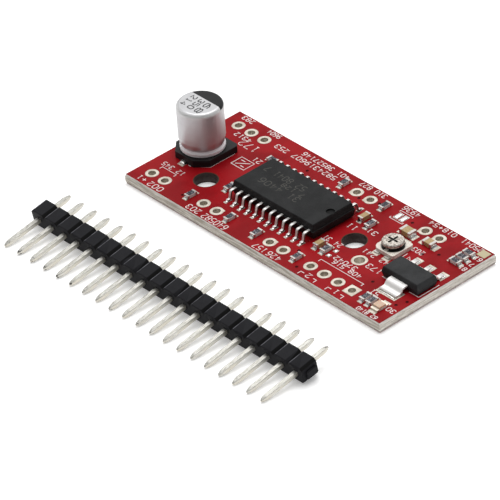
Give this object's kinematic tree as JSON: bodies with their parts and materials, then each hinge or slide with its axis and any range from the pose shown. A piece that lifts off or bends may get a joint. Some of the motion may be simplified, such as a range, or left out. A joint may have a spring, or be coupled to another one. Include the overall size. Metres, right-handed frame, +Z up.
{
  "type": "stepper motor driver module",
  "caption": "Small red circuit board that drives a stepper motor, with fitted chips, trimmer and capacitor, and a loose strip of header pins.",
  "frame": {"origin": "centre of the board's underside", "axes": "+X along the board's long edge, away from the electrolytic capacitor; +Z up, off the fitted side; the loose header strip lies towards -Y"},
  "size_m": [0.0511, 0.0406, 0.0093],
  "materials": {
    "glass_epoxy": "woven glass-epoxy laminate, cut edge",
    "red_solder_mask": "semi-gloss red lacquer",
    "tinned_copper": "solder-coated copper, satin",
    "bright_solder": "bright reflowed solder",
    "moulding_black": "fine-textured epoxy moulding compound",
    "tinned_lead": "tin-plated lead frame",
    "bare_copper": "copper alloy lead frame",
    "silicon": "polished silicon",
    "can_aluminium": "satin drawn aluminium",
    "base_black": "black heat-resistant resin",
    "bung_rubber": "dense black rubber",
    "foil_and_paper": "wound foil and paper",
    "trimmer_ceramic": "cream matt ceramic",
    "resistive_track": "dark cermet track",
    "trimmer_steel": "plated pressed steel",
    "alumina": "white alumina",
    "resistor_glaze": "dark glass overglaze",
    "tan_ceramic": "tan barium-titanate ceramic",
    "led_substrate": "pale laminate",
    "led_resin": "peach diffused resin",
    "led_gold": "gold flash",
    "header_black": "black glass-filled polyester",
    "header_pin_metal": "tin-gold plated square wire"
  },
  "bodies": {
    "board": {"barrel_square_pad": "tinned_copper", "barrel_test_point": "tinned_copper", "barrels_header_holes": "tinned_copper", "big_ceramic_capacitor_bodies": "tan_ceramic", "big_ceramic_capacitor_end_caps": "tinned_lead", "board_core": "glass_epoxy", "capacitor_base": "base_black", "capacitor_can": "can_aluminium", "capacitor_leads": "tinned_lead", "capacitor_seal": "bung_rubber", "capacitor_winding": "foil_and_paper", "driver_chip_body": "moulding_black", "driver_chip_die": "silicon", "driver_chip_leads_back": "tinned_lead", "driver_chip_leads_front": "tinned_lead", "driver_chip_paddle": "bare_copper", "lands_capacitor": "tinned_copper", "lands_driver_chip": "tinned_copper", "lands_large_ceramics": "tinned_copper", "lands_regulator": "tinned_copper", "lands_small_parts": "tinned_copper", "lands_spare": "bright_solder", "lands_trimmer": "tinned_copper", "led_base": "led_substrate", "led_end_contacts": "led_gold", "led_lens": "led_resin", "mid_ceramic_capacitor_bodies": "tan_ceramic", "mid_ceramic_capacitor_end_caps": "tinned_lead", "regulator_body": "moulding_black", "regulator_die": "silicon", "regulator_pins": "tinned_lead", "regulator_tab": "tinned_lead", "row_resistor_bodies": "alumina", "row_resistor_end_caps": "tinned_lead", "row_resistor_films": "resistor_glaze", "side_resistor_bodies": "alumina", "side_resistor_end_caps": "tinned_lead", "side_resistor_films": "resistor_glaze", "small_ceramic_capacitor_bodies": "tan_ceramic", "small_ceramic_capacitor_end_caps": "tinned_lead", "solder_fillets": "bright_solder", "solder_jumper_lands": "bright_solder", "solder_mask_bottom": "red_solder_mask", "solder_mask_top": "red_solder_mask", "stack_resistor_bodies": "alumina", "stack_resistor_end_caps": "tinned_lead", "stack_resistor_films": "resistor_glaze", "trimmer_base": "trimmer_ceramic", "trimmer_terminals": "tinned_lead", "trimmer_track": "resistive_track", "via_barrels": "bare_copper"},
    "rotor": {"trimmer_rotor": "trimmer_steel", "trimmer_wiper": "trimmer_steel"},
    "header_strip": {"header_housing": "header_black", "header_pins": "header_pin_metal"}
  },
  "joints": [
    {"name": "trimmer_turn", "type": "hinge", "parent": "board", "child": "rotor", "pos_m": [0.0138, 0.00215, 0.0025], "axis": [0, 0, 1], "range_deg": [-130, 130]},
    {"name": "header_lift", "type": "slide", "parent": "board", "child": "header_strip", "axis": [0, 0, 1], "range_m": [0, 0.02]}
  ]
}
